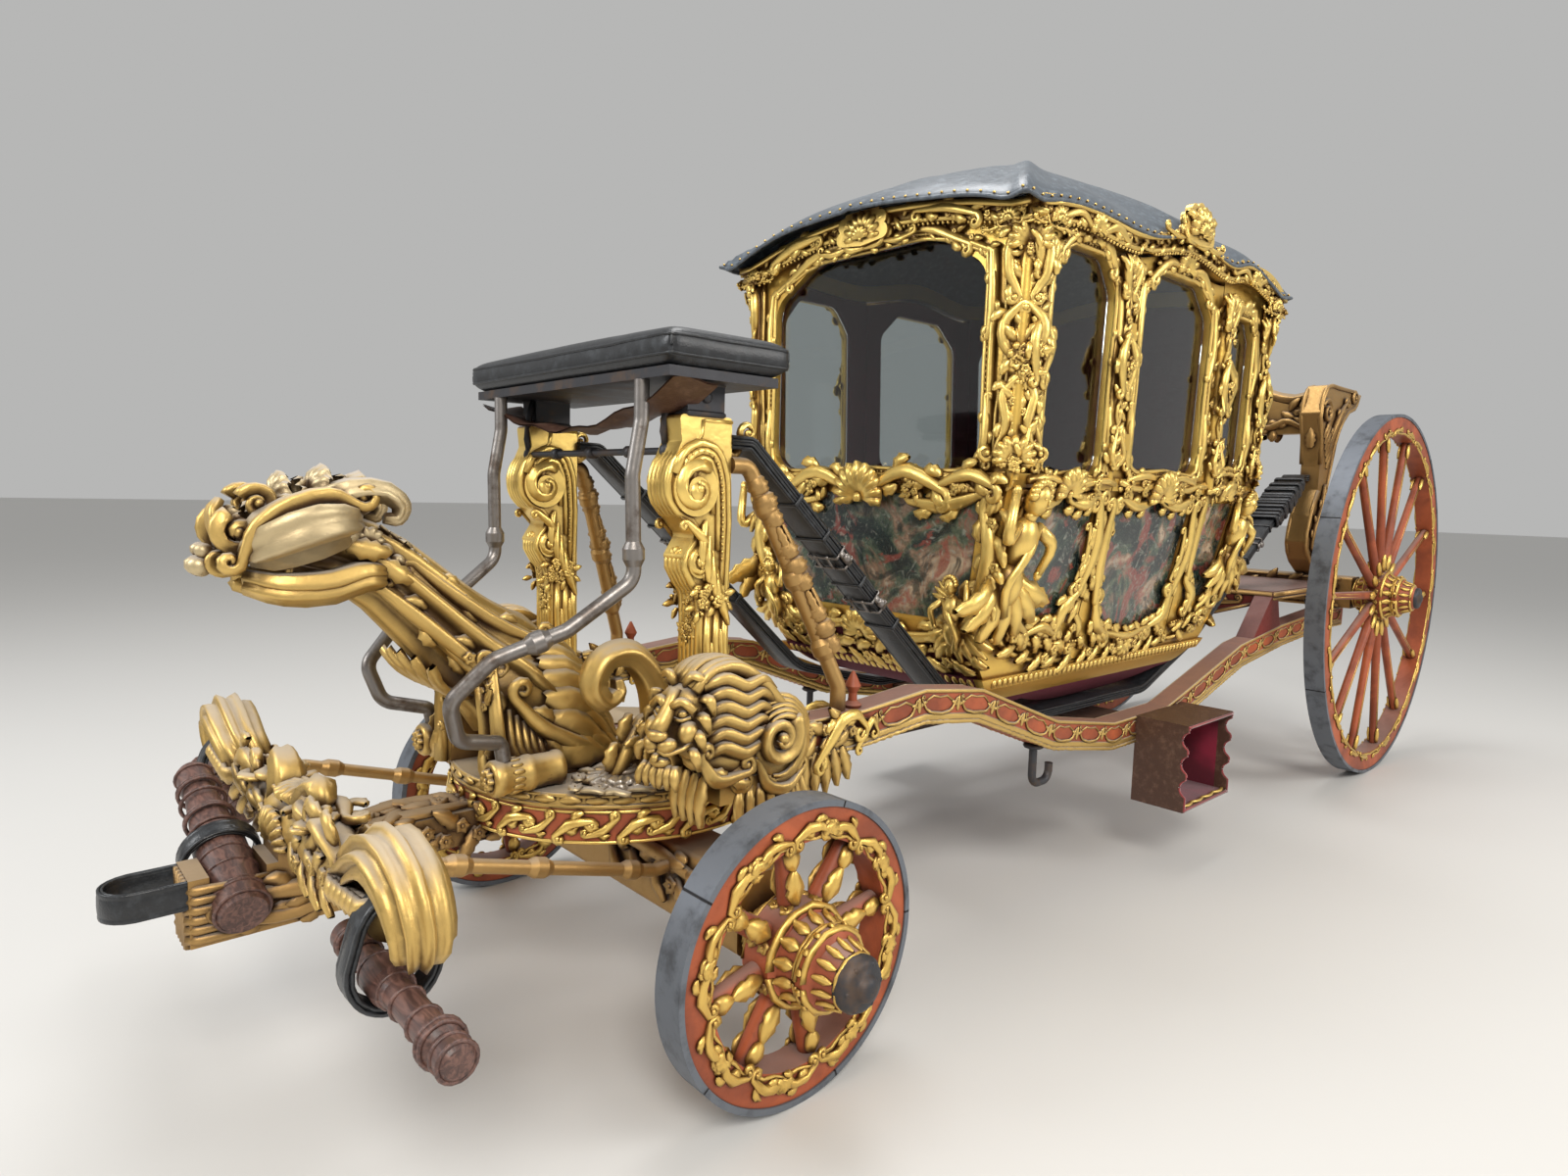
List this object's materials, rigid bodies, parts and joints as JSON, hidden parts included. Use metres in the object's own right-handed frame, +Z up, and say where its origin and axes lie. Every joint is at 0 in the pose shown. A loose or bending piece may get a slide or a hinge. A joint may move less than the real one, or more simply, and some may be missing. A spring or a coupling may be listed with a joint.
{
  "type": "horse-drawn state coach",
  "caption": "Gilded closed coach hung on leather braces between crane-necked side perches, with a turning forecarriage, box seat, footboard and hinged doors.",
  "frame": {"origin": "on the ground under the middle of the coach's length and width", "axes": "+X forward, +Y to the coach's left, +Z up"},
  "size_m": [5.9358, 1.852, 2.488],
  "materials": {
    "gilt": "burnished gilding on carved wood",
    "red_paint": "old red-brown paint with gilt lines",
    "green_panel": "dark green painted and varnished panels with gilt frames",
    "wheel_paint": "red-brown paint, gilt carving on hub and felloes",
    "tyre_iron": "worn iron strakes",
    "black_iron": "forged iron, dark",
    "bright_iron": "polished forged iron",
    "roof_leather": "oiled black leather, slate-grey sheen",
    "black_leather": "black harness leather",
    "brown_leather": "brown leather with crimson lining",
    "crimson": "crimson velvet",
    "glass": "clear",
    "dark_wood": "dark turned wood, waxed"
  },
  "bodies": {
    "carriage": {"bench_cushion_front": "crimson", "bench_cushion_rear": "crimson", "bench_front": "crimson", "bench_rear": "crimson", "body_front": "green_panel", "body_rear": "green_panel", "body_tray": "gilt", "brace_left": "black_leather", "brace_right": "black_leather", "cornice": "gilt", "drums": "gilt", "footboard_console": "gilt", "footboard_irons": "bright_iron", "front_glass": "glass", "front_standards": "gilt", "hind_board": "red_paint", "hind_crest": "gilt", "hind_standards": "gilt", "hooks": "black_iron", "perch_heads": "gilt", "perch_left": "red_paint", "perch_plank": "red_paint", "perch_right": "red_paint", "quarter_front_panels": "green_panel", "quarter_glass": "glass", "quarter_rear_panels": "green_panel", "rear_axle": "black_iron", "rear_bed": "gilt", "roof": "roof_leather", "seat_cushion": "black_leather", "seat_frame": "black_iron", "stays": "gilt", "steps": "brown_leather", "transom": "gilt", "upper_turntable": "red_paint"},
    "forecarriage": {"front_axle": "black_iron", "front_bed": "gilt", "lower_turntable": "red_paint", "pole_beam": "red_paint", "pole_loop": "black_leather", "pole_roller": "dark_wood", "splinter_bar": "gilt", "stay_rods": "gilt", "swingletrees": "dark_wood", "trace_loops": "black_leather"},
    "front_wheel_left": {"front_tyre_left": "tyre_iron", "front_wheel_left": "wheel_paint"},
    "front_wheel_right": {"front_tyre_right": "tyre_iron", "front_wheel_right": "wheel_paint"},
    "rear_wheel_left": {"rear_tyre_left": "tyre_iron", "rear_wheel_left": "wheel_paint"},
    "rear_wheel_right": {"rear_tyre_right": "tyre_iron", "rear_wheel_right": "wheel_paint"},
    "door_left": {"door_glass_left": "glass", "door_left": "green_panel"},
    "door_right": {"door_glass_right": "glass", "door_right": "green_panel"}
  },
  "joints": [
    {"name": "steering", "type": "hinge", "parent": "carriage", "child": "forecarriage", "pos_m": [1.832, 0, 0.6], "axis": [0, 0, 1], "range_deg": [-45, 45]},
    {"name": "front_wheel_left_spin", "type": "hinge", "parent": "forecarriage", "child": "front_wheel_left", "pos_m": [1.832, 0.719, 0.333], "axis": [0, 1, 0], "continuous": true},
    {"name": "rear_wheel_left_spin", "type": "hinge", "parent": "carriage", "child": "rear_wheel_left", "pos_m": [-2.088, 0.719, 0.88], "axis": [0, 1, 0], "continuous": true},
    {"name": "door_left_hinge", "type": "hinge", "parent": "carriage", "child": "door_left", "pos_m": [0.317, 0.596, 1.4], "axis": [0, 0, -1], "range_deg": [0, 90]},
    {"name": "front_wheel_right_spin", "type": "hinge", "parent": "forecarriage", "child": "front_wheel_right", "pos_m": [1.832, -0.719, 0.333], "axis": [0, 1, 0], "continuous": true},
    {"name": "rear_wheel_right_spin", "type": "hinge", "parent": "carriage", "child": "rear_wheel_right", "pos_m": [-2.088, -0.719, 0.88], "axis": [0, 1, 0], "continuous": true},
    {"name": "door_right_hinge", "type": "hinge", "parent": "carriage", "child": "door_right", "pos_m": [0.317, -0.596, 1.4], "axis": [0, 0, 1], "range_deg": [0, 90]}
  ]
}
